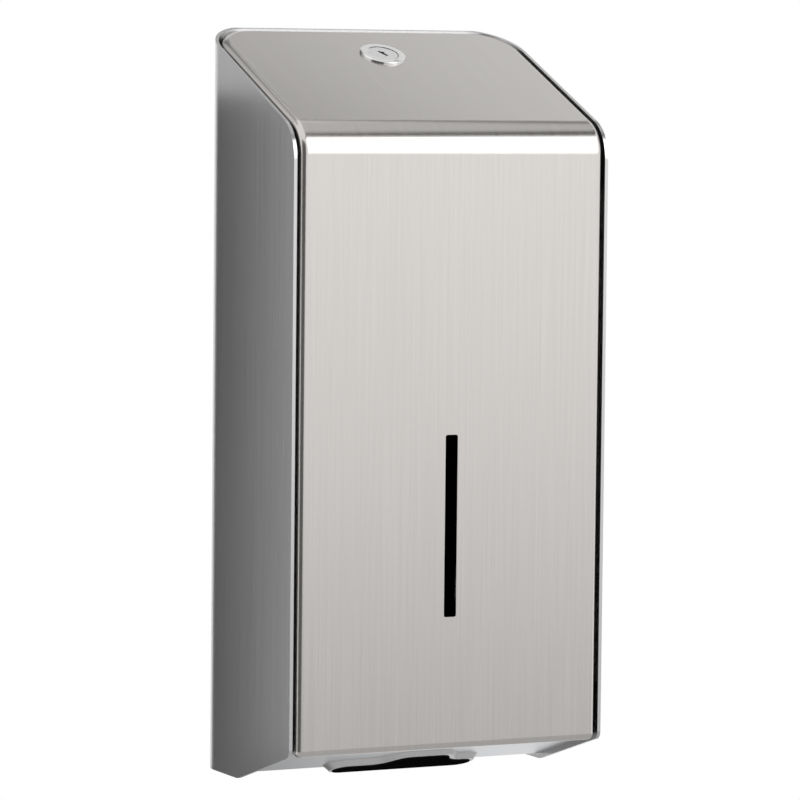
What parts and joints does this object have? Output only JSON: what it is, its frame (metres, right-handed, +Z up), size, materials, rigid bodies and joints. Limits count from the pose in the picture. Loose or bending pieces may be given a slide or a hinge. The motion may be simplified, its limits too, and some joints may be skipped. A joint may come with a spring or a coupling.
{
  "type": "interfold toilet tissue dispenser",
  "caption": "Wall-hung sheet-metal dispenser for folded toilet tissue, with a locking hinged cover, a level slot and a throat in the underside.",
  "frame": {"origin": "centre of the four wall screw holes, on the wall plane at the back of the case", "axes": "+Y into the wall, front towards -Y, +Z up, +X to the right seen from the front"},
  "size_m": [0.15, 0.101, 0.3257],
  "materials": {
    "case_steel": "satin brushed",
    "cover_steel": "satin brushed, grain upright",
    "plate_steel": "satin",
    "lip_steel": "satin",
    "zinc_steel": "zinc plated",
    "hinge_steel": "satin",
    "screw_steel": "zinc plated",
    "buffer_rubber": "matt",
    "black_plastic": "matt",
    "lock_chrome": "satin chrome",
    "plug_chrome": "satin chrome",
    "lock_brass": "plain"
  },
  "bodies": {
    "case": {"case_shell": "case_steel", "bottom_plate": "plate_steel", "throat_lip": "lip_steel", "throat_liner": "black_plastic", "catch_bracket": "zinc_steel", "stop_strip_left": "zinc_steel", "stop_strip_right": "zinc_steel", "cover_buffers": "buffer_rubber", "hinge_case_leaf": "hinge_steel", "hinge_rod": "hinge_steel", "magazine_back": "black_plastic", "magazine_floor": "black_plastic", "side_guide_left": "black_plastic", "side_guide_right": "black_plastic", "guide_screws": "screw_steel"},
    "cover": {"cover_panel": "cover_steel", "hinge_cover_leaf": "hinge_steel", "lock_housing": "lock_chrome", "lock_washer": "screw_steel", "lock_nut": "lock_brass"},
    "plug": {"lock_plug": "plug_chrome", "lock_cam": "zinc_steel", "cam_washer": "screw_steel", "cam_screw": "screw_steel"}
  },
  "joints": [
    {"name": "cover_hinge", "type": "hinge", "parent": "case", "child": "cover", "pos_m": [0, -0.094, -0.14488], "axis": [1, 0, 0], "range_deg": [0, 90]},
    {"name": "lock_turn", "type": "hinge", "parent": "cover", "child": "plug", "pos_m": [0, -0.029, 0.1513], "axis": [0, -0.4035, 0.915], "range_deg": [0, 90]}
  ]
}
